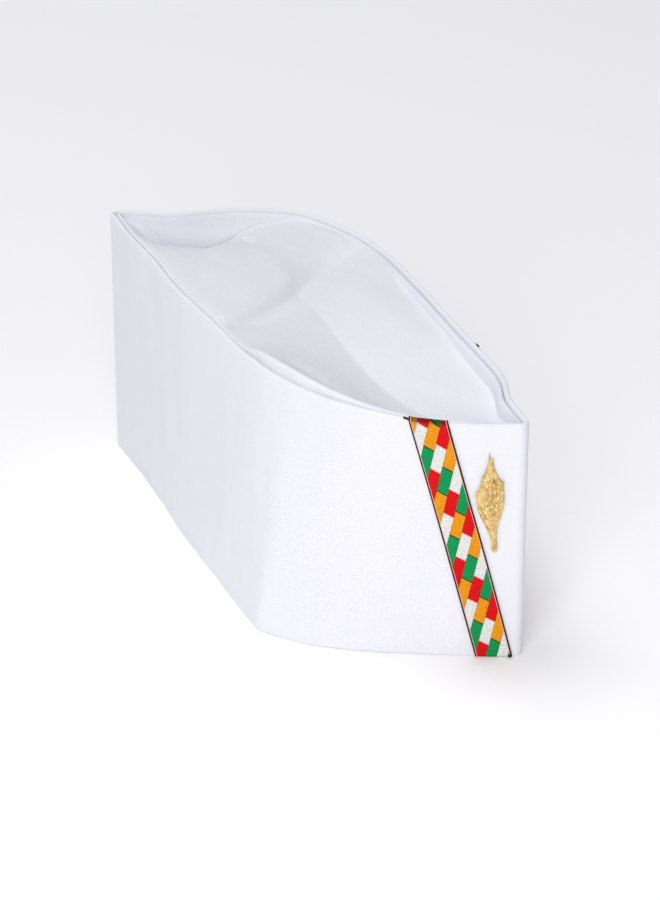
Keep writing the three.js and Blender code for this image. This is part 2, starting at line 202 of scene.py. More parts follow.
# %% [markdown]
# ## Stations round the wall
# Every sheet of the cap runs round the same way: along the near side, round the back fold,
# along the far side and round the front fold. So the stations of that walk are worked out
# once. Each one knows its points at hem and rim, the outward direction at both, and how far
# along the cloth it is, which later places the weave. At the two folds the station stands
# still and only the outward direction swings round, which rolls the cloth over a small radius.

# %% Stations round the wall
SIDE_STEPS = 212
FOLD_STEPS = 13
SIDE_LENGTH = 281.0
FOLD_LENGTH = 11.0
HALF_WALK = SIDE_LENGTH + FOLD_LENGTH


def outward(side, share, edge):
    """The outward direction at hem or rim, seen from above."""
    line = f"{side}_{edge}"
    run = spot_on(line, min(share + 0.004, 1)) - spot_on(line, max(share - 0.004, 0))
    turned = Vector((-run.y, run.x)) if side == "near" else Vector((run.y, -run.x))
    return turned.normalized()


def ease(a, b, x):
    """0 below a, 1 above b, and a soft step between them."""
    t = min(max((x - a) / (b - a), 0.0), 1.0)
    return t * t * (3 - 2 * t)


def make_station(side, share, way=None, swing=0.0):
    """One station. swing turns the outward direction between the two sides at a fold."""
    station = {"side": side, "share": share, "way": way}
    for edge in ("hem", "rim"):
        station[edge] = spot_on(f"{side}_{edge}", share)
        station["out_" + edge] = outward(side, share, edge)
        if swing:
            other = "far" if side == "near" else "near"
            start = station["out_" + edge]
            end = outward(other, share, edge)
            whole = math.atan2(start.x * end.y - start.y * end.x, start.dot(end))
            turned = start.copy()
            turned.rotate(Matrix.Rotation(whole * swing, 2))
            station["out_" + edge] = turned
    lift = BACK_LIFT * ease(0.93, 1.0, share)
    if side == "far":
        lift += KINK_LIFT * math.exp(-(((share - KINK_SHARE) / KINK_WIDTH) ** 2))
    station["tall"] = rim_height(station["rim"].y) + lift
    return station


def walk_round():
    """All stations of the walk, with the length of cloth walked so far in millimetres."""
    stations = []
    for side, start in (("near", 0.0), ("far", HALF_WALK)):
        for k in range(SIDE_STEPS + 1):
            done = k / SIDE_STEPS
            share = done if side == "near" else 1 - done
            stations.append(make_station(side, share, way=start + done * SIDE_LENGTH))
        for k in range(1, FOLD_STEPS + 1):
            swing = k / (FOLD_STEPS + 1)
            way = start + SIDE_LENGTH + swing * FOLD_LENGTH
            stations.append(make_station(side, share, way=way, swing=swing))
    stations.append(make_station("near", 0.0, way=2 * HALF_WALK))
    return stations


STATIONS = walk_round()
print("stations round the cap:", len(STATIONS))

# %% [markdown]
# ## How the cloth hangs between hem and rim
# Starched cotton is never quite flat: it keeps long, faint upright waves where it was pressed.
# They could be painted as bumps, but then the rim would stay a perfect curve. Here the waves
# move the cloth itself. The same wave moves the band, the crown's wall and the ribbons, so
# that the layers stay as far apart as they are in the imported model.

# %% How the cloth hangs between hem and rim
WAVE_SEED = {"near": 3.1, "far": 17.9}
WAVES = [
    # height, length along the cloth, length upwards, own seed
    (0.55, 34, 150, 0),
    (0.20, 11, 120, 5),
    (0.12, 16, 19, 9),
]


def wall_wave(station, up):
    """How far the pressed cloth waves outwards here, in millimetres."""
    share = station["share"]
    quiet = ease(0.01, 0.10, share) * ease(0.01, 0.10, 1 - share)
    if quiet == 0:
        return 0.0
    seed = WAVE_SEED[station["side"]]
    way = share * SIDE_LENGTH
    tall = up * station["tall"]
    return quiet * sum(height * noise.noise(Vector((way / along_it, tall / upwards, seed + own)))
                       for height, along_it, upwards, own in WAVES)


def wall_spot(station, up, off):
    """A point off millimetres outside the core line, at the share up of the rim's height."""
    core = station["hem"].lerp(station["rim"], up)
    out = station["out_hem"].lerp(station["out_rim"], up).normalized()
    core = core + out * (off + wall_wave(station, up)) - MIDDLE
    return Vector((core.x, core.y, up * station["tall"]))


print("rim at the front fold:", [round(v, 1) for v in wall_spot(STATIONS[0], 1, 3.7)])

# %% [markdown]
# ## A helper for every sheet
# A sheet of cloth is a grid of threads, so each one starts as Blender's own grid, which comes
# with a map of its squares. The grid's points are then moved to their places on the cap, and
# its map is stretched to the cloth's true measure in metres, so that the weave has one size
# everywhere. Modelling such a sheet by hand in edit mode would take hundreds of small moves
# and would never give three layers that lie so close together without touching.

# %% A helper for every sheet
def select_only(piece=None):
    """Selects one piece and makes it active, or selects nothing."""
    bpy.ops.object.select_all(action="DESELECT")
    if piece:
        piece.select_set(True)
        bpy.context.view_layer.objects.active = piece


def lay_sheet(name, columns, rows, spot, chart):
    """A grid whose point (i, j) goes to spot(i, j) in millimetres. Its map goes to
    chart(i, j, row), where row is the face's own row, so that a map may jump between rows."""
    select_only()
    bpy.ops.mesh.primitive_grid_add(x_subdivisions=columns, y_subdivisions=rows, size=1)
    sheet = bpy.context.active_object
    sheet.name = name
    mesh = sheet.data
    mesh.name = name
    knots = [(round((v.co.x + 0.5) * columns), round((v.co.y + 0.5) * rows)) for v in mesh.vertices]
    cloth_map = mesh.uv_layers.active
    cloth_map.name = "cloth"
    for face in mesh.polygons:
        row = min(knots[n][1] for n in face.vertices)
        for loop in face.loop_indices:
            knot = knots[mesh.loops[loop].vertex_index]
            cloth_map.data[loop].uv = chart(*knot, row)
    for vertex, knot in zip(mesh.vertices, knots):
        vertex.co = spot(*knot) * MM
    mesh.update()
    print(name, "starts with", len(mesh.vertices), "knots")
    return sheet


def close_seams(piece, gap=0.00001):
    """Joins points that lie on each other and turns all faces outwards."""
    select_only(piece)
    bpy.ops.object.mode_set(mode="EDIT")
    bpy.ops.mesh.select_all(action="SELECT")
    bpy.ops.mesh.remove_doubles(threshold=gap)
    bpy.ops.mesh.dissolve_degenerate(threshold=gap)
    bpy.ops.mesh.select_all(action="SELECT")
    bpy.ops.mesh.normals_make_consistent(inside=False)
    bpy.ops.object.mode_set(mode="OBJECT")


def work_modifier(piece, kind, **settings):
    """Adds a modifier with its settings and applies it at once."""
    bpy.context.view_layer.objects.active = piece
    modifier = piece.modifiers.new(kind.lower(), kind)
    for key, value in settings.items():
        setattr(modifier, key, value)
    bpy.ops.object.modifier_apply(modifier=modifier.name)


def measure(piece):
    """Prints a piece's faces and its box in millimetres."""
    spots = [v.co for v in piece.data.vertices]
    low = [round(min(s[k] for s in spots) / MM, 1) for k in range(3)]
    high = [round(max(s[k] for s in spots) / MM, 1) for k in range(3)]
    print(piece.name, "has", len(piece.data.polygons), "faces, from", low, "to", high)


print("helpers are ready")

# %% [markdown]
# ## The band
# The wall is one strip of cotton folded double: it runs up the outside, turns over at the rim,
# comes down the inside and turns again at the hem. One thick slab would show no turned edges.
# So the strip is laid as a closed loop of cloth, 0.9 mm thick, with its two layers 0.2 mm apart
# and a round turn at the rim and at the hem.

# %% The band's strip
CLOTH = 0.9
OUTER_LAYER = 3.25
INNER_LAYER = 2.15
TURN_RADIUS = (OUTER_LAYER - INNER_LAYER) / 2
TURN_MIDDLE = (OUTER_LAYER + INNER_LAYER) / 2
EDGE = TURN_RADIUS + CLOTH / 2
BAND_RISES = 27
TURN_STEPS = 6


def band_section(tall):
    """The strip's cross-section as (height, off) pairs, from the hem up outside and down inside."""
    section = []
    runs = ((EDGE, tall - EDGE, OUTER_LAYER, 1), (tall - EDGE, EDGE, INNER_LAYER, -1))
    for start, end, off, way in runs:
        for k in range(BAND_RISES + 1):
            section.append((start + (end - start) * k / BAND_RISES, off))
        for k in range(1, TURN_STEPS):
            angle = math.pi * k / TURN_STEPS
            section.append((end + way * TURN_RADIUS * math.sin(angle),
                            TURN_MIDDLE + way * TURN_RADIUS * math.cos(angle)))
    section.append(section[0])
    return section


BAND_SECTIONS = [band_section(s["tall"]) for s in STATIONS]
BAND_ROWS = len(BAND_SECTIONS[0]) - 1


def band_spot(i, j):
    """Knot (i, j) of the strip."""
    height, off = BAND_SECTIONS[i][j]
    return wall_spot(STATIONS[i], height / STATIONS[i]["tall"], off)


def band_chart(i, j, row):
    """The strip's map: along the cloth, and across it from the outer hem over the rim."""
    section = BAND_SECTIONS[i]
    across = sum(math.dist(section[k], section[k + 1]) for k in range(j))
    return (STATIONS[i]["way"] * MM, across * MM)


band_cloth = lay_sheet("band_cloth", len(STATIONS) - 1, BAND_ROWS, band_spot, band_chart)
close_seams(band_cloth)
work_modifier(band_cloth, "SOLIDIFY", thickness=CLOTH * MM, offset=0, use_even_offset=False)
measure(band_cloth)

# %% [markdown]
# ## The crown
# The crown is one layer of cloth. It hangs down inside the band as a lining wall, rolls over a
# small edge just under the rim, and its top is pushed down into the band, deep in the middle and
# with a pocket at the back. A second table says how deep the top lies under the rim on five
# lines. Fingers left folds that no such table can hold: a ledge across the cap behind its half,
# with a sharp crease in front of it, and a few small puckers. So each of these is drawn as a
# path seen from above, and the cloth is lifted or pressed by its distance to that path.

# %% The crown's depth
SINK = [
    # share   near edge   near half   middle   far half   far edge
    [0.00,      3.0,        3.0,       3.0,      3.0,       3.0],
    [0.07,      0.5,        3.5,       7.0,      8.0,       8.0],
    [0.13,      0.3,        6.0,      10.5,      8.5,       6.8],
    [0.20,     -0.4,        8.0,      13.0,      9.0,       6.5],
    [0.27,     -2.2,        7.0,      13.0,      8.3,       5.0],
    [0.32,     -3.4,        5.8,      12.0,      7.2,       4.0],
    [0.37,     -3.9,        4.5,      10.5,      6.2,       3.9],
    [0.42,     -3.2,        3.9,       8.7,      5.0,       3.4],
    [0.47,     -0.3,        3.6,       6.9,      3.8,       2.9],
    [0.52,      1.2,        4.0,       6.2,      2.8,       0.9],
    [0.55,      0.8,        5.2,       6.2,      3.2,       0.8],
    [0.58,      0.3,        2.6,       7.0,      5.0,       1.0],
    [0.61,      0.2,        0.8,       3.4,      6.2,       1.6],
    [0.66,      0.2,        0.2,       1.6,      3.6,       1.6],
    [0.75,      0.2,        0.6,       2.6,      4.2,       3.2],
    [0.80,      0.2,        1.4,       5.2,      7.4,       6.4],
    [0.82,      0.2,        1.9,       7.0,     10.2,       9.3],
    [0.845,     0.2,        2.8,       9.0,     14.0,      14.3],
    [0.87,      0.2,        3.6,      10.0,     15.5,      17.5],
    [0.91,      0.2,        3.6,       9.0,     13.5,      14.6],
    [0.96,      0.2,        1.8,       3.4,      4.8,       5.2],
    [1.00,      0.2,        0.2,       0.2,      0.2,       0.2],
]


def sink_at(side, share, out):
    """Depth under the rim, from the middle line (out 0) to the rim (out 1) of one side."""
    half, edge = (2, 1) if side == "near" else (4, 5)
    m = along(SINK, share, 3)
    h = along(SINK, share, half)
    e = along(SINK, share, edge)
    return m * (1 - out) * (1 - 2 * out) + h * 4 * out * (1 - out) + e * out * (2 * out - 1)


def path_place(x, y, path):
    """Where a spot lies beside a drawn path: its signed distance (left positive) and its share."""
    best = None
    lengths = [0.0]
    for low, high in zip(path, path[1:]):
        lengths.append(lengths[-1] + math.dist(low, high))
    for n, ((x0, y0), (x1, y1)) in enumerate(zip(path, path[1:])):
        dx, dy = x1 - x0, y1 - y0
        t = min(max(((x - x0) * dx + (y - y0) * dy) / (dx * dx + dy * dy), 0.0), 1.0)
        gap = math.hypot(x - x0 - t * dx, y - y0 - t * dy)
        if best is None or gap < best[0]:
            side = 1.0 if dx * (y - y0) - dy * (x - x0) >= 0 else -1.0
            best = (gap, side, (lengths[n] + t * math.hypot(dx, dy)) / lengths[-1])
    return best[0] * best[1], best[2]


# The ledge across the crown, from the near edge to the far one, in the finished cap's place.
LEDGE = [(-39.0, 12.8), (-33.3, 10.9), (-27.8, 10.6), (-18.6, 12.9), (-9.8, 15.8), (-0.9, 19.2),
         (9.7, 23.9), (22.0, 30.0), (32.8, 34.8), (42.5, 38.1), (50.5, 38.2), (58.0, 35.0)]
LEDGE_RISE = 2.9      # its height near the near edge
LEDGE_MORE = 1.3      # how much higher it is at the far edge
LEDGE_RUN = 2.6       # the width of its slope near the near edge
LEDGE_FADE = 24.0     # how far behind it the cloth sinks back
RIPPLE = 0.6
# Small puckers: their path, depth and width.
PUCKERS = [
    ([(16.2, 89.5), (12.5, 81.0), (8.8, 73.8)], 1.0, 2.4),
    ([(31.7, 84.4), (28.0, 76.0), (22.9, 67.5)], 0.9, 2.2),
    ([(56.5, 17.5), (52.0, 4.6), (46.8, -7.2), (40.5, -22.5), (34.0, -38.0)], 1.2, 1.3),
    ([(-37.5, -26.0), (-37.5, -42.0), (-39.0, -58.0), (-40.0, -74.0)], 0.8, 3.5),
    ([(-22.0, 44.0), (-8.0, 60.0), (6.0, 70.0)], 0.7, 5.0),
    ([(24.0, 40.0), (30.0, 55.0), (33.0, 70.0)], 0.6, 6.0),
]


def crown_folds(x, y, out):
    """The folds pressed into the crown by hand, in millimetres upwards."""
    free = ease(0.0, 0.08, 1 - out)
    beside, share = path_place(x, y, LEDGE)
    height = 0.0
    if beside > 0:
        ends = ease(0.0, 0.05, share) * ease(0.0, 0.10, 1 - share)
        far = ease(0.45, 0.75, share)
        slope = 1 - math.exp(-((beside / (LEDGE_RUN * (1.0 + 1.8 * far))) ** 1.5))
        rise = (LEDGE_RISE + LEDGE_MORE * far) * slope * math.exp(-beside / LEDGE_FADE)
        height = rise * ends * free
    for path, deep, wide in PUCKERS:
        beside, share = path_place(x, y, path)
        if abs(beside) < 4 * wide:
            fade = ease(0.0, 0.2, share) * ease(0.0, 0.25, 1 - share)
            height -= deep * fade * math.exp(-(beside / wide) ** 2)
    ripple = noise.noise(Vector((x / 21.0, y / 26.0, 4.2)))
    return height + RIPPLE * ripple * free


EDGE_DEPTH = 1.0      # how far under the rim the crown's rolled edge may lie
EDGE_INSET = 1.1      # how far inside the core line the straight part behind it lies
FLARE_HEIGHT = 0.5
FLARE_REACH = 3.0
LEAST_ROOM = 0.3      # how close under the rim a fold may come


def crown_drop(station):
    """How far the crown's edge runs straight down inside the band before the top begins."""
    depth = sink_at(station["side"], station["share"], 1)
    return max(depth - EDGE_DEPTH, 0.0)


def crown_inset(station):
    """How far inside the core line that straight part lies."""
    share = station["share"]
    tips = ease(0.0, 0.07, share) * ease(0.0, 0.05, 1 - share)
    return EDGE_INSET * tips * ease(0.0, 3.0, crown_drop(station))


def crown_top(station, out):
    """A point of the crown's top."""
    share = station["share"]
    inset = crown_inset(station)
    middle = spot_on("middle", share)
    edge = station["rim"] + station["out_rim"] * (wall_wave(station, 1) - inset)
    spot = middle.lerp(station["rim"], out)
    spot = spot + (edge - station["rim"]) * out**3
    depth = sink_at(station["side"], share, out)
    # The cloth flares up softly where it meets the straight part.
    reach = (spot - edge).length
    flare = min(crown_drop(station), FLARE_HEIGHT) * ease(0.0, 1.0, 1 - reach / FLARE_REACH)
    spot_up = rim_height(spot.y) - depth + flare
    x, y = spot.x - MIDDLE.x, spot.y - MIDDLE.y
    fold = crown_folds(x, y, out)
    room = max(depth + LEAST_ROOM, LEAST_ROOM)
    if fold > 0:
        fold = room * (1 - math.exp(-fold / room))
    return Vector((x, y, spot_up + fold))


half_station = STATIONS[SIDE_STEPS // 2]
print("crown at the half, in its middle:", [round(v, 1) for v in crown_top(half_station, 0)])

# %% The crown's sheet
CROWN_CLOTH = 1.1
LIP_RADIUS = 1.4
WALL_FOOT = 0.35      # the wall ends this far above the hem
# The rows at which the wall, the rolled edge, the straight part and the top end.
WALL_RISES = 20
LIP_END = 26
DROP_END = 34
CROWN_ROWS = 78
TOP_START = 0.98


def crown_row(station, j):
    """Row j of the crown: the wall, the rolled edge, the straight part and the top."""
    tall = station["tall"]
    start = crown_top(station, TOP_START)
    lip = tall - min(sink_at(station["side"], station["share"], 1), EDGE_DEPTH)
    straight = lip - LIP_RADIUS
    if j <= WALL_RISES:
        raised = WALL_FOOT + (straight - WALL_FOOT) * j / WALL_RISES
        return wall_spot(station, raised / tall, LIP_RADIUS)
    if j <= LIP_END:
        angle = math.pi / 2 * (j - WALL_RISES) / (LIP_END - WALL_RISES)
        height = straight + LIP_RADIUS * math.sin(angle)
        return wall_spot(station, height / tall, LIP_RADIUS * math.cos(angle))
    if j <= DROP_END:
        down = (j - LIP_END) / (DROP_END - LIP_END)
        inset = crown_inset(station) * (1 - (1 - down) ** 3)
        height = lip + (start.z - lip) * down ** 1.4
        turn = down ** (1 + 3 * ease(0.0, 3.0, crown_drop(station)))
        return wall_spot(station, height / tall, -inset).lerp(start, turn)
    inwards = (j - DROP_END) / (CROWN_ROWS - DROP_END)
    return crown_top(station, TOP_START * (1 - inwards))


CROWN_SPOTS = [[crown_row(s, j) for j in range(CROWN_ROWS + 1)] for s in STATIONS]
CROWN_REACH = []
for column in CROWN_SPOTS:
    reach = [0.0]
    for low, high in zip(column, column[1:]):
        reach.append(reach[-1] + (high - low).length)
    CROWN_REACH.append(reach)


def crown_chart(i, j, row):
    """The wall's map follows the wall; the top's map is the cloth seen from above."""
    spot = CROWN_SPOTS[i][j]
    if row < DROP_END:
        return (STATIONS[i]["way"] * MM, CROWN_REACH[i][j] * MM)
    return (spot.x * MM, spot.y * MM)


crown_cloth = lay_sheet("crown_cloth", len(STATIONS) - 1, CROWN_ROWS,
                        lambda i, j: CROWN_SPOTS[i][j], crown_chart)
close_seams(crown_cloth)
work_modifier(crown_cloth, "SOLIDIFY", thickness=CROWN_CLOTH * MM, offset=-1,
              use_even_offset=False)
measure(crown_cloth)

# %% [markdown]
# ## The woven ribbons
# Each ribbon is a tape 14 mm wide that slants forward from the rim to the hem. It is laid on
# the band's outer face as a thin sheet of its own; the right one is turned in over the rim, the
# left one ends just under it. Its map runs from 0 to 1 across the tape and up the wall, because
# the woven pattern follows the tape.

# %% The woven ribbons
BAND_FACE = 3.7
RIBBON_THICK = 0.5
RIBBON_WIDE = 14.0
RIBBON_LIFT = 0.45
SELVEDGE_LIFT = 0.12  # how much higher the thick selvedges lie
STOP_LIFT = 0.29      # how low the tape lies where it ends under the rim
RIBBON_TALL = 97      # the rim's height at the ribbon
RIBBON_ROWS = 110
RIBBON_COLUMNS = 24
OVER_STEPS = 8
OVER_PACE = 0.0022    # what one step over the rim adds to the map
SELVEDGE_UV = (0.012, 0.5)
SIDE_REACH = 0.01     # how far to both sides of a share its run is measured


def lay_ribbon(name, side, rim_share, hem_share, over, stop=0.0):
    """A tape on one side of the band. It is turned over the rim by over degrees, or it ends
    stop millimetres under the rim and lies close to the band there."""
    rows = RIBBON_ROWS + OVER_STEPS
    wall_rows = rows if stop else RIBBON_ROWS

    def run_beside(edge, share):
        line = f"{side}_{edge}"
        return spot_on(line, share + SIDE_REACH) - spot_on(line, share - SIDE_REACH)

    def spot(i, j):
        beside = 1 - 2 * i / RIBBON_COLUMNS
        rise = 0.004 + 0.996 * min(j / wall_rows, 1)
        turn = math.radians(over * max(j - wall_rows, 0) / OVER_STEPS)
        share = hem_share + (rim_share - hem_share) * rise
        run = run_beside("hem", share).lerp(run_beside("rim", share), rise)
        share += (rim_share - hem_share) * turn * (EDGE + RIBBON_LIFT) / RIBBON_TALL
        share += beside * RIBBON_WIDE / 2 * 2 * SIDE_REACH / run.length
        station = make_station(side, share)
        tall = station["tall"]
        lift = RIBBON_LIFT + SELVEDGE_LIFT * ease(0.86, 0.95, abs(beside))
        if stop:
            flat = ease(0.85, 0.98, j / rows)
            lift = lift * (1 - flat) + STOP_LIFT * flat
        if j <= wall_rows:
            return wall_spot(station, rise * (1 - (stop or EDGE) / tall), BAND_FACE + lift)
        height = tall - EDGE + (EDGE + lift) * math.sin(turn)
        return wall_spot(station, height / tall, BAND_FACE - EDGE + (EDGE + lift) * math.cos(turn))

    def chart(i, j, row):
        up = min(j / wall_rows, 1) + max(j - wall_rows, 0) * OVER_PACE
        return (i / RIBBON_COLUMNS, up)

    ribbon = lay_sheet(name, RIBBON_COLUMNS, rows, spot, chart)
    out = ribbon.data.polygons[len(ribbon.data.polygons) // 2].normal
    wanted = make_station(side, (rim_share + hem_share) / 2)["out_rim"]
    if out.xy.dot(wanted) < 0:
        bpy.ops.object.mode_set(mode="EDIT")
        bpy.ops.mesh.select_all(action="SELECT")
        bpy.ops.mesh.flip_normals()
        bpy.ops.object.mode_set(mode="OBJECT")
    work_modifier(ribbon, "SOLIDIFY", thickness=RIBBON_THICK * MM, offset=0)
    measure(ribbon)
    return ribbon


def add_thread_end(ribbon, side, start, end, thick):
    """A loose end of the dark selvedge thread, joined to its ribbon. It runs from start to end,
    each given as its share along the side, its share up and its distance off the band's face."""
    start, end = (wall_spot(make_station(side, share), up, BAND_FACE + off)
                  for share, up, off in (start, end))
    run = end - start
    bpy.ops.mesh.primitive_cylinder_add(vertices=8, radius=thick / 2 * MM, depth=run.length * MM,
                                        end_fill_type="TRIFAN")
    thread = bpy.context.active_object
    turn = run.to_track_quat("Z", "Y")
    middle = (start + end) / 2
    for vertex in thread.data.vertices:
        vertex.co = turn @ vertex.co + middle * MM
    thread_map = thread.data.uv_layers.active
    thread_map.name = "cloth"
    for loop in thread_map.data:
        loop.uv = SELVEDGE_UV
    ribbon.select_set(True)
    bpy.context.view_layer.objects.active = ribbon
    bpy.ops.object.join()


ribbon_right_weave = lay_ribbon("ribbon_right_weave", "near", 0.1245, 0.0265, 92)
ribbon_left_weave = lay_ribbon("ribbon_left_weave", "far", 0.212, 0.128, 0, stop=1.7)

# %% Loose thread ends
add_thread_end(ribbon_right_weave, "near", (0.1495, 0.9985, 0.1), (0.1590, 1.0, -0.5), 0.9)
add_thread_end(ribbon_right_weave, "near", (0.0045, 0.013, 0.5), (0.0030, 0.004, 1.0), 1.0)
add_thread_end(ribbon_left_weave, "far", (0.2400, 0.992, 0.1), (0.2285, 0.9995, -0.35), 0.9)
measure(ribbon_right_weave)
measure(ribbon_left_weave)

# %% [markdown]
# ## The brass leaf
# The badge is a leaf stamped from thin brass: a smooth, slightly domed plate with toothed sides,
# a raised midrib and veins in its middle, and a long stem. A post soldered to its back goes
# through the cloth. A stamped relief has no parts to build, so a fine grid is shaped to the
# leaf's outline and raised by the sum of a few simple forms, as a die would press it.

# %% The leaf's own frame
LEAF_SHARE = 0.0345
LEAF_FOOT = 45.0      # how high the stem's foot stands over the hem
POST_UP = 19.0        # how far the post is from that foot


def leaf_frame():
    """The directions across, up and out of the leaf, and the middle of its post."""
    def on_band(share, up):
        return wall_spot(make_station("near", share), up, BAND_FACE)

    up = (on_band(LEAF_SHARE, 0.90) - on_band(LEAF_SHARE, 0.45)).normalized()
    front = (on_band(LEAF_SHARE - 0.02, 0.67) - on_band(LEAF_SHARE + 0.03, 0.67)).normalized()
    out = front.cross(up).normalized()
    if out.xy.dot(make_station("near", LEAF_SHARE)["out_rim"]) < 0:
        out.negate()
    centre = on_band(LEAF_SHARE, 0.68)
    return up.cross(out).normalized(), up, out, centre + up * (LEAF_FOOT - centre.z + POST_UP)


LEAF_ACROSS, LEAF_UP, LEAF_OUT, POST_SPOT = leaf_frame()
print("the leaf's post stands at", [round(v, 1) for v in POST_SPOT])

# %% The leaf's outline
# Both edges without their barbs, from the stem's foot up: the height and the distance from the
# leaf's long axis at that height.
LEAF_FRONT_EDGE = [
    [0.0, 0.3], [0.25, 0.75], [0.9, 1.15], [2.0, 1.24], [4.0, 1.15], [7.7, 1.10], [10.3, 1.6],
    [13.3, 2.5], [15.7, 3.25], [19.0, 4.1], [22.4, 4.5], [25.4, 4.35], [28.2, 3.8], [29.1, 3.4],
    [31.3, 2.4], [33.4, 1.55], [35.1, 1.05], [36.9, 0.92], [38.4, 0.86], [38.65, 0.7]]
LEAF_REAR_EDGE = [
    [0.0, 0.3], [0.25, 0.75], [0.9, 0.95], [3.3, 0.87], [6.2, 1.15], [8.6, 1.9], [11.0, 2.9],
    [13.3, 3.9], [15.4, 4.8], [17.4, 5.5], [20.1, 5.85], [23.0, 5.7], [24.7, 5.2], [27.1, 4.6],
    [29.6, 3.8], [31.3, 3.0], [34.3, 1.9], [36.7, 1.15], [38.4, 0.86], [38.65, 0.7]]
# Each barb: where it starts, where its tip is, and how far the tip stands out.
FRONT_BARBS = [(25.0, 29.0, 1.05)]
REAR_BARBS = [(20.6, 25.0, 1.45), (28.8, 31.4, 0.85)]
BARB_TOP = 0.35       # how fast the edge comes back above a barb's tip
LEAF_ROWS = 220
LEAF_COLUMNS = 56
LEAF_TALL = LEAF_REAR_EDGE[-1][0]
LEAF_SHIFT = -0.7     # how far the long axis lies beside the post
LEAF_LEAN = math.radians(3.6)
LEAF_BACK = 0.55      # how far off the band the plate lies


def leaf_edge(table, barbs, up):
    """Half width of the leaf at a height, and how far a barb stands out there."""
    for low, high in zip(table, table[1:]):
        if up <= high[0]:
            break
    wide = low[1] + (high[1] - low[1]) * (up - low[0]) / (high[0] - low[0])
    barb = 0.0
    for start, tip, reach in barbs:
        if start < up <= tip:
            barb = reach * ((up - start) / (tip - start)) ** 2
        elif tip < up < tip + BARB_TOP:
            barb = reach * (1 - (up - tip) / BARB_TOP)
    return wide, barb


at_barb = leaf_edge(LEAF_REAR_EDGE, REAR_BARBS, 25.0)
print("half width and reach at the rear barb:", [round(v, 2) for v in at_barb])

# %% The leaf's relief
PLATE_TALL = 0.50     # the face's height where nothing is raised
RELIEF_STRETCH = 1.024  # the lines below are drawn for a leaf shorter by this


def ridge(distance, width):
    """A soft ridge of height 1 and the given width."""
    return math.exp(-(distance / width) ** 2)


def pressed(across, up, lines):
    """The sum of soft ridges along drawn lines, each with its width and height."""
    return sum(height * ridge(path_place(across, up, line)[0], width) for line, width, height in lines)


# Each groove of the die: its points (across, up), its width and its depth.
LEAF_GROOVES = [
    ([(0.4, 30.6), (1.05, 28.9), (1.55, 27.3), (1.9, 25.6), (1.75, 23.6)], 0.30, 0.34),
    ([(2.2, 20.7), (1.1, 19.1), (0.35, 17.5), (0.2, 15.6)], 0.30, 0.38),
    ([(3.1, 16.0), (2.5, 14.4), (1.9, 13.0)], 0.30, 0.42),
    ([(-4.8, 15.6), (-3.9, 13.6), (-3.0, 11.8), (-1.75, 9.2)], 0.28, 0.42),
    ([(-4.2, 18.3), (-3.4, 16.2), (-2.2, 13.6)], 0.30, 0.36),
]
# Each raised vein: its points, its width and its height.
LEAF_VEINS = [
    ([(0.3, 13.0), (0.0, 18.0), (-0.2, 23.0), (0.1, 28.0), (0.2, 33.5)], 0.34, 0.30),
    ([(0.1, 15.5), (-1.4, 17.6), (-2.6, 20.6)], 0.26, 0.24),
    ([(0.0, 18.0), (-1.7, 20.4), (-3.6, 23.6)], 0.26, 0.24),
    ([(-0.1, 21.0), (-1.6, 23.4), (-2.9, 26.4)], 0.26, 0.24),
    ([(0.0, 24.2), (-1.2, 26.6), (-2.1, 29.2)], 0.25, 0.22),
    ([(0.1, 27.6), (-0.7, 29.4), (-1.1, 31.2)], 0.24, 0.20),
    ([(0.1, 20.4), (0.9, 22.0), (1.3, 24.0)], 0.25, 0.22),
    ([(0.0, 23.4), (0.7, 25.2), (0.9, 27.0)], 0.25, 0.22),
    ([(2.4, 23.2), (3.3, 22.2), (4.2, 21.6)], 0.22, 0.16),
    ([(2.3, 24.3), (3.2, 23.3), (4.2, 22.7)], 0.22, 0.16),
    ([(2.2, 22.0), (3.1, 21.2), (4.1, 20.5)], 0.22, 0.16),
]


def leaf_relief(across, up, share):
    """Height of the stamped face above its back, in millimetres; share runs -1 to 1 across."""
    up = up / RELIEF_STRETCH
    blade = ease(9, 15, up) * (1 - ease(32, 36, up))
    dome = 0.55 * (1 - share**2) ** 0.6 * blade
    stem = 0.40 * (1 - share**2) * (1 - 0.8 * blade)
    middle = 1 - ease(0.55, 0.75, abs(across + 0.6) / 4.2)
    heart = blade * middle * ease(13, 16, up) * (1 - ease(29, 32, up))
    pebbles = 0.30 * noise.noise(Vector((across * 1.25, up * 1.1, 2.0))) * heart
    curls = 0.16 * noise.noise(Vector((across * 2.3, up * 1.9, 11.0))) * heart
    border = 0.17 * ridge(abs(share) - 0.86, 0.07) * blade
    grain = 0.05 * noise.noise(Vector((across * 2.6, up * 2.6, 7.0)))
    lines = pressed(across, up, LEAF_VEINS) - pressed(across, up, LEAF_GROOVES)
    dimple = 0.35 * ridge(math.hypot(across - 0.3, up - 1.7), 0.35)
    return PLATE_TALL + dome + stem + pebbles + curls + border + grain + lines - dimple


def on_leaf(across, up, out):
    """From the leaf's own measures to the cap, in millimetres."""
    leant = Vector((across + LEAF_SHIFT, up - POST_UP))
    leant.rotate(Matrix.Rotation(LEAF_LEAN, 2))
    return POST_SPOT + LEAF_ACROSS * leant.x + LEAF_UP * leant.y + LEAF_OUT * out


def leaf_spot(i, j):
    """Knot (i, j) of the stamped face. A barb pulls only the outermost part along."""
    up = LEAF_TALL * j / LEAF_ROWS
    share = 2 * i / LEAF_COLUMNS - 1
    if share > 0:
        wide, barb = leaf_edge(LEAF_FRONT_EDGE, FRONT_BARBS, up)
    else:
        wide, barb = leaf_edge(LEAF_REAR_EDGE, REAR_BARBS, up)
    across = share * wide + math.copysign(barb * abs(share) ** 6, share)
    return on_leaf(across, up, LEAF_BACK + leaf_relief(across, up, share))


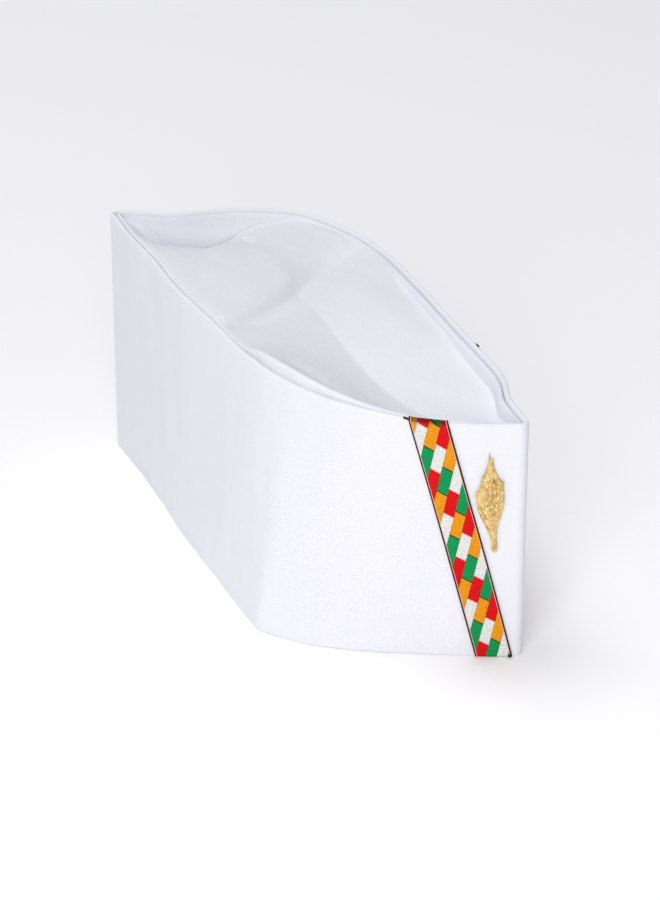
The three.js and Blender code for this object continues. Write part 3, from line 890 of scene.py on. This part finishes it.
print("the face is", round(leaf_relief(-1.0, 20.0, 0.0), 2), "mm high in its middle")

# %% The leaf's plate
BRASS_THICK = 0.45
leaf_plate = lay_sheet("leaf_plate", LEAF_COLUMNS, LEAF_ROWS, leaf_spot,
                       lambda i, j, row: (i / LEAF_COLUMNS, j / LEAF_ROWS))
leaf_faces = leaf_plate.data.polygons
if leaf_faces[(LEAF_ROWS + 1) * LEAF_COLUMNS // 2].normal.dot(LEAF_OUT) < 0:
    leaf_plate.data.flip_normals()
work_modifier(leaf_plate, "SOLIDIFY", thickness=BRASS_THICK * MM, offset=-1, use_even_offset=False)
measure(leaf_plate)

# %% [markdown]
# The leaf ends in a thin spike beside its blunt top, and a round post stands behind it. Both are
# simple turned shapes, so each starts as a primitive, gets its edges rounded, and is then stood
# in its place by one matrix whose columns are the leaf's own directions.

# %% The leaf's spike
def stand_on_leaf(piece, columns, spot):
    """Turns a piece's own directions to the given ones and moves it to spot."""
    turn = Matrix(columns).transposed().to_4x4()
    piece.data.transform(Matrix.Translation(spot * MM) @ turn)
    measure(piece)


select_only()
bpy.ops.mesh.primitive_cone_add(vertices=12, radius1=0.26 * MM, radius2=0.10 * MM, depth=3.4 * MM)
leaf_spike = bpy.context.active_object
leaf_spike.name = "leaf_spike"
bpy.ops.object.mode_set(mode="EDIT")
bpy.ops.mesh.select_all(action="SELECT")
bpy.ops.mesh.bevel(offset=0.04 * MM, segments=2)
bpy.ops.object.mode_set(mode="OBJECT")
stand_on_leaf(leaf_spike, (LEAF_ACROSS, -LEAF_OUT, LEAF_UP), on_leaf(-0.50, 39.3, LEAF_BACK + 0.42))

# %% The leaf's post
select_only()
bpy.ops.mesh.primitive_cylinder_add(vertices=24, radius=0.7 * MM, depth=2.9 * MM)
leaf_post = bpy.context.active_object
leaf_post.name = "leaf_post"
bpy.ops.object.mode_set(mode="EDIT")
bpy.ops.mesh.select_all(action="DESELECT")
bpy.ops.object.mode_set(mode="OBJECT")
for face in leaf_post.data.polygons:
    face.select = face.normal.z < -0.9
bpy.ops.object.mode_set(mode="EDIT")
bpy.ops.mesh.bevel(offset=0.2 * MM, segments=2)
bpy.ops.object.mode_set(mode="OBJECT")
stand_on_leaf(leaf_post, (LEAF_ACROSS, LEAF_UP, LEAF_OUT), POST_SPOT - LEAF_OUT * 0.4)
leaf_spike.select_set(True)
leaf_plate.select_set(True)
bpy.context.view_layer.objects.active = leaf_plate
bpy.ops.object.join()

# %% [markdown]
# ## Materials: cotton twill
# Twill is a weave whose threads step sideways, which gives fine slanting ribs. At arm's length
# one sees the ribs only faintly, a little unevenness of the yarn, and a soft dull surface. The
# ribs could come from an image, but a pattern made of nodes has no seams and no fixed size. It
# is a node group, because band and crown both use it, each with its own values.

# %% Node helpers
def wire(tree, kind, inputs=None, **settings):
    """Adds a node, sets its properties, and fills its inputs with values or links."""
    node = tree.nodes.new(kind)
    for key, value in settings.items():
        setattr(node, key, value)
    for key, value in (inputs or {}).items():
        if isinstance(value, bpy.types.NodeSocket):
            tree.links.new(value, node.inputs[key])
        else:
            node.inputs[key].default_value = value
    return node


def maths(tree, operation, a, b=0.0, c=0.0):
    """One Math node; a, b and c are values or links. A group's own calc is this on its tree."""
    return wire(tree, "ShaderNodeMath", {0: a, 1: b, 2: c}, operation=operation).outputs[0]


def start_group(name, inputs, outputs):
    """A new node group with named inputs (name, type, value) and outputs (name, type)."""
    group = bpy.data.node_groups.new(name, "ShaderNodeTree")
    for label, kind, value in inputs:
        socket = group.interface.new_socket(label, in_out="INPUT", socket_type=kind)
        if value is not None:
            socket.default_value = value
    for label, kind in outputs:
        group.interface.new_socket(label, in_out="OUTPUT", socket_type=kind)
    entry = group.nodes.new("NodeGroupInput")
    leave = group.nodes.new("NodeGroupOutput")
    return group, entry.outputs, leave.inputs


def use_group(tree, group, inputs):
    """Places a node group in a material."""
    return wire(tree, "ShaderNodeGroup", inputs, node_tree=group).outputs


def stretched_noise(tree, chart, scale, detail):
    """Noise on a map that is stretched by scale, so that its spots are long or wide."""
    stretched = wire(tree, "ShaderNodeMapping", {"Vector": chart, "Scale": scale}).outputs[0]
    spots = {"Vector": stretched, "Scale": 1.0, "Detail": detail}
    return wire(tree, "ShaderNodeTexNoise", spots).outputs["Fac"]


def spread(tree, value, low, high, start=0.0, end=1.0):
    """Spreads the values from start to end over low to high."""
    return wire(tree, "ShaderNodeMapRange", {"Value": value, "From Min": start, "From Max": end,
                                             "To Min": low, "To Max": high}).outputs[0]


def finish_surface(tree, shader, height, bump, distance, rough_low, rough_high):
    """Bumps and roughness, both from one height."""
    bumps = wire(tree, "ShaderNodeBump", {"Height": height, "Strength": bump, "Distance": distance})
    tree.links.new(bumps.outputs["Normal"], shader.inputs["Normal"])
    tree.links.new(spread(tree, height, rough_low, rough_high), shader.inputs["Roughness"])


def start_material(name):
    """A new material, its node tree and its Principled shader."""
    material = bpy.data.materials.new(name)
    material.use_nodes = True
    tree = material.node_tree
    return material, tree, tree.nodes["Principled BSDF"]


print("node helpers are ready")

# %% The twill group
def make_twill():
    """Slanting ribs with uneven yarn: a height for bumps and a shade for colour."""
    group, given, result = start_group(
        "cotton_twill",
        [("Chart", "NodeSocketVector", None), ("Rib", "NodeSocketFloat", 0.0008)],
        [("Height", "NodeSocketFloat"), ("Shade", "NodeSocketFloat")])
    calc = partial(maths, group)
    split = wire(group, "ShaderNodeSeparateXYZ", {0: given["Chart"]}).outputs
    wobble = wire(group, "ShaderNodeTexNoise",
                  {"Vector": given["Chart"], "Scale": 160.0, "Detail": 2.0})
    bent = calc("MULTIPLY_ADD", wobble.outputs["Fac"], 0.0009, split["X"])
    slant = calc("MULTIPLY_ADD", split["Y"], 0.85, bent)
    turns = calc("DIVIDE", slant, given["Rib"])
    rib = calc("SINE", calc("MULTIPLY", turns, 2 * math.pi))
    steps = calc("DIVIDE", calc("SUBTRACT", split["Y"], split["X"]), given["Rib"])
    step = calc("SINE", calc("MULTIPLY", steps, 1.31 * math.pi))
    knot = calc("MULTIPLY", calc("ADD", rib, 1.0), calc("MULTIPLY_ADD", step, 0.22, 0.5))
    upright = stretched_noise(group, given["Chart"], (1400.0, 90.0, 1.0), 1.0)
    level = stretched_noise(group, given["Chart"], (90.0, 1400.0, 1.0), 1.0)
    yarn = calc("MULTIPLY", calc("ADD", upright, level), 0.5)
    height = calc("MULTIPLY_ADD", yarn, 0.6, calc("MULTIPLY", knot, 0.5))
    blotch = stretched_noise(group, given["Chart"], (60.0, 14.0, 1.0), 3.0)
    shade = calc("MULTIPLY_ADD", blotch, 0.45, calc("MULTIPLY", height, 0.5))
    group.links.new(height, result["Height"])
    group.links.new(shade, result["Shade"])
    return group


TWILL = make_twill()


def make_cotton(name, rib, dark, light, bump):
    """White cotton: the twill group gives the colour's unevenness and the bumps."""
    material, tree, shader = start_material(name)
    chart = wire(tree, "ShaderNodeUVMap", uv_map="cloth").outputs["UV"]
    twill = use_group(tree, TWILL, {"Chart": chart, "Rib": rib})
    tint = wire(tree, "ShaderNodeValToRGB", {"Fac": twill["Shade"]})
    for element, position, colour in zip(tint.color_ramp.elements, (0.25, 0.75), (dark, light)):
        element.position = position
        element.color = (*colour, 1)
    tree.links.new(tint.outputs["Color"], shader.inputs["Base Color"])
    finish_surface(tree, shader, twill["Height"], bump, 0.0002, 0.95, 0.8)
    shader.inputs["Specular IOR Level"].default_value = 0.25
    shader.inputs["Sheen Weight"].default_value = 0.12
    shader.inputs["Sheen Roughness"].default_value = 0.5
    return material


band_cotton = make_cotton("band_cotton", 0.0008, (0.80, 0.80, 0.845), (0.875, 0.875, 0.91), 0.35)
crown_cotton = make_cotton("crown_cotton", 0.0010, (0.78, 0.78, 0.83), (0.87, 0.87, 0.91), 0.55)
band_cloth.data.materials.append(band_cotton)
crown_cloth.data.materials.append(crown_cotton)
print("cotton is on", band_cloth.name, "and", crown_cloth.name)

# %% [markdown]
# ## Materials: the ribbon's woven pattern
# The ribbon shows four rows of coloured blocks that run down to the right, like bricks laid on
# a slant. Red and white blocks share two of the rows, orange and green blocks the other two.
# Each point of the tape is therefore given two numbers: which slanting row it is in, and which
# block of that row. The colours follow from these, and thin dark lines part the rows.

# %% The ribbon's woven pattern
RED = (0.80, 0.003, 0.008, 1)
ORANGE = (0.92, 0.335, 0.006, 1)
GREEN = (0.003, 0.33, 0.092, 1)
WHITE = (0.84, 0.84, 0.80, 1)
BROWN = (0.040, 0.012, 0.010, 1)
PINK = (0.72, 0.42, 0.36, 1)
DARK_GREEN = (0.010, 0.035, 0.008, 1)
ROWS_UP = 10.733      # slanting rows from rim to hem
ROWS_ACROSS = 3.370   # and across the tape
FIRST_ROW = -3.164
BLOCKS_ACROSS = -0.9706
LOW_CUT = -2.853      # where a row's short edges lie, counted in blocks from its own number
HIGH_CUT = -1.4216


def pick(tree, mask, low, high):
    """A colour mix: low where the mask is 0, high where it is 1."""
    node = wire(tree, "ShaderNodeMix", {0: mask}, data_type="RGBA")
    for key, value in (("A", low), ("B", high)):
        socket = next(s for s in node.inputs if s.name == key and s.type == "RGBA")
        if isinstance(value, bpy.types.NodeSocket):
            tree.links.new(value, socket)
        else:
            socket.default_value = value
    return next(s for s in node.outputs if s.type == "RGBA")


def thin_line(tree, distance, width):
    """1 within width of a line and 0 outside, from the distance to it."""
    return maths(tree, "LESS_THAN", maths(tree, "ABSOLUTE", distance), width)


def make_block_weave():
    """The tape's colours and height from its map."""
    group, given, result = start_group(
        "block_weave", [("Tape", "NodeSocketVector", None)],
        [("Colour", "NodeSocketColor"), ("Height", "NodeSocketFloat")])
    calc = partial(maths, group)
    split = wire(group, "ShaderNodeSeparateXYZ", {0: given["Tape"]}).outputs
    u = split["X"]
    down = calc("SUBTRACT", 1.0, split["Y"])
    along_tape = calc("MULTIPLY_ADD", down, ROWS_UP, FIRST_ROW)
    reach = calc("MULTIPLY_ADD", u, ROWS_ACROSS, along_tape)
    row = calc("FLOOR", calc("ADD", reach, 0.5))
    inside = calc("SUBTRACT", reach, row)
    run = calc("MULTIPLY_ADD", u, BLOCKS_ACROSS, along_tape)
    block = calc("SUBTRACT", run, row)
    between = calc("MULTIPLY", calc("GREATER_THAN", block, LOW_CUT), calc("LESS_THAN", block, HIGH_CUT))
    outer = calc("SUBTRACT", 1.0, between)
    turn = calc("FLOORED_MODULO", row, 4.0)
    odd = calc("FLOORED_MODULO", row, 2.0)
    late = calc("GREATER_THAN", turn, 1.5)
    # Rows 0 and 2 swap red and white, rows 1 and 3 swap orange and green.
    swap = calc("ABSOLUTE", calc("SUBTRACT", outer, late))
    red_white = pick(group, swap, WHITE, RED)
    orange_green = pick(group, swap, GREEN, ORANGE)
    colour = pick(group, odd, red_white, orange_green)
    # Short edges between the blocks of a row.
    cut = calc("MINIMUM", calc("ABSOLUTE", calc("SUBTRACT", block, LOW_CUT)),
               calc("ABSOLUTE", calc("SUBTRACT", block, HIGH_CUT)))
    crisp = calc("MULTIPLY", thin_line(group, cut, 0.032), odd)
    colour = pick(group, crisp, colour, DARK_GREEN)
    soft = calc("MULTIPLY", thin_line(group, cut, 0.03), calc("SUBTRACT", 1.0, odd))
    colour = pick(group, calc("MULTIPLY", soft, 0.5), colour, PINK)
    # Long edges between the rows, dotted where the threads cross.
    dotted = stretched_noise(group, given["Tape"], (30.0, 240.0, 1.0), 0.0)
    seam = thin_line(group, calc("SUBTRACT", calc("ABSOLUTE", inside), 0.5), 0.022)
    seam = calc("MULTIPLY", seam, calc("GREATER_THAN", dotted, 0.42))
    colour = pick(group, calc("MULTIPLY", seam, 0.75), colour, BROWN)
    # Three shades lie over the colours: fine threads across each block, tufts of silk about a
    # millimetre long that catch the light unevenly, and a painted shade that darkens the tape where it
    # turns over the rim.
    thread = stretched_noise(group, given["Tape"], (70.0, 330.0, 1.0), 1.0)
    tuft = stretched_noise(group, given["Tape"], (20.0, 105.0, 1.0), 2.0)
    for tone in (spread(group, thread, 0.72, 1.08, 0.3, 0.7),
                 spread(group, tuft, 0.80, 1.12, 0.3, 0.7),
                 spread(group, split["Y"], 1.0, 0.35, 0.999, 1.006)):
        shaded = wire(group, "ShaderNodeVectorMath", {0: colour, 1: tone}, operation="MULTIPLY")
        colour = shaded.outputs[0]
    # Both selvedges: a pale thread, then a dark one.
    rim = calc("SUBTRACT", 0.5, calc("ABSOLUTE", calc("SUBTRACT", u, 0.5)))
    colour = pick(group, calc("LESS_THAN", rim, 0.058), colour, PINK)
    colour = pick(group, calc("LESS_THAN", rim, 0.040), colour, BROWN)
    puff = calc("SUBTRACT", 0.25, calc("MULTIPLY", inside, inside))
    height = calc("MULTIPLY_ADD", thread, 0.35, calc("MULTIPLY", puff, 3.0))
    group.links.new(colour, result["Colour"])
    group.links.new(height, result["Height"])
    return group


def make_ribbon_silk():
    """The woven ribbon: pattern, puffed rows and a satin gloss."""
    material, tree, shader = start_material("woven_ribbon")
    tape = wire(tree, "ShaderNodeUVMap", uv_map="cloth").outputs["UV"]
    weave = use_group(tree, make_block_weave(), {"Tape": tape})
    tree.links.new(weave["Colour"], shader.inputs["Base Color"])
    finish_surface(tree, shader, weave["Height"], 0.5, 0.0003, 0.70, 0.52)
    shader.inputs["Specular IOR Level"].default_value = 0.10
    return material


woven_ribbon = make_ribbon_silk()
for ribbon in (ribbon_right_weave, ribbon_left_weave):
    ribbon.data.materials.append(woven_ribbon)
print("the ribbons carry", woven_ribbon.name)

# %% [markdown]
# ## Materials: brass and steel
# The leaf is pale stamped brass, bright on its raised veins and brown where dirt stays in the
# grooves. The clutch behind it is plain steel. Both metals have the same faint grain, so that
# is a second node group. A coarser noise lays the stain, and the stamped relief itself does
# most of the work under the lamps.

# %% Brass and steel
def make_metal_grain():
    """Fine handling marks: a height for bumps and a mask for stain."""
    group, given, result = start_group(
        "metal_grain", [("Place", "NodeSocketVector", None), ("Fineness", "NodeSocketFloat", 900.0)],
        [("Height", "NodeSocketFloat"), ("Stain", "NodeSocketFloat")])
    for label, scale in (("Height", given["Fineness"]), ("Stain", 620.0)):
        spots = wire(group, "ShaderNodeTexNoise",
                     {"Vector": given["Place"], "Scale": scale, "Detail": 4.0})
        group.links.new(spots.outputs["Fac"], result[label])
    return group


METAL_GRAIN = make_metal_grain()


def make_metal(name, clean, stained, rough_from, rough_to, bump):
    """A worn metal in two tones."""
    material, tree, shader = start_material(name)
    place = wire(tree, "ShaderNodeTexCoord").outputs["Object"]
    grain = use_group(tree, METAL_GRAIN, {"Place": place})
    stain = spread(tree, grain["Stain"], 0.0, 1.0, 0.35, 0.7)
    colour = pick(tree, stain, (*clean, 1), (*stained, 1))
    tree.links.new(colour, shader.inputs["Base Color"])
    finish_surface(tree, shader, grain["Height"], bump, 0.0002, rough_from, rough_to)
    shader.inputs["Metallic"].default_value = 1.0
    return material


badge_brass = make_metal("badge_brass", (0.88, 0.66, 0.30), (0.60, 0.37, 0.11), 0.26, 0.48, 0.6)
clutch_steel = make_metal("clutch_steel", (0.56, 0.57, 0.60), (0.44, 0.45, 0.47), 0.28, 0.45, 0.2)
leaf_plate.data.materials.append(badge_brass)
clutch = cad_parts["badge_clutch"]
clutch.material_slots[0].material = clutch_steel
print("metals are on", leaf_plate.name, "and", clutch.name)

# %% [markdown]
# ## Finish each piece
# Cloth is shaded smooth all over, because all its edges are round. The leaf keeps its sharp
# edges, so it is smoothed by angle only. Then each piece is tied to the imported model: what it
# rides on and which solid it stands for. Every sheet also
# states how large it was when cut.

# %% Finish each piece
PIECES = {
    band_cloth: ("band", "band_cotton"),
    crown_cloth: ("crown", "crown_cotton"),
    ribbon_right_weave: ("ribbon_right", "woven_ribbon"),
    ribbon_left_weave: ("ribbon_left", "woven_ribbon"),
    leaf_plate: ("leaf_badge", "badge_brass"),
}
for piece, (node, slot) in PIECES.items():
    select_only(piece)
    if piece is leaf_plate:
        bpy.ops.object.shade_smooth_by_angle(angle=math.radians(40))
    else:
        bpy.ops.object.shade_smooth()
    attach(piece, "root")
    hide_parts(node)
    area = sum(face.area for face in piece.data.polygons) / 2
    print(piece.name, "stands for", node, "with", round(area, 5), "square metres of one face")
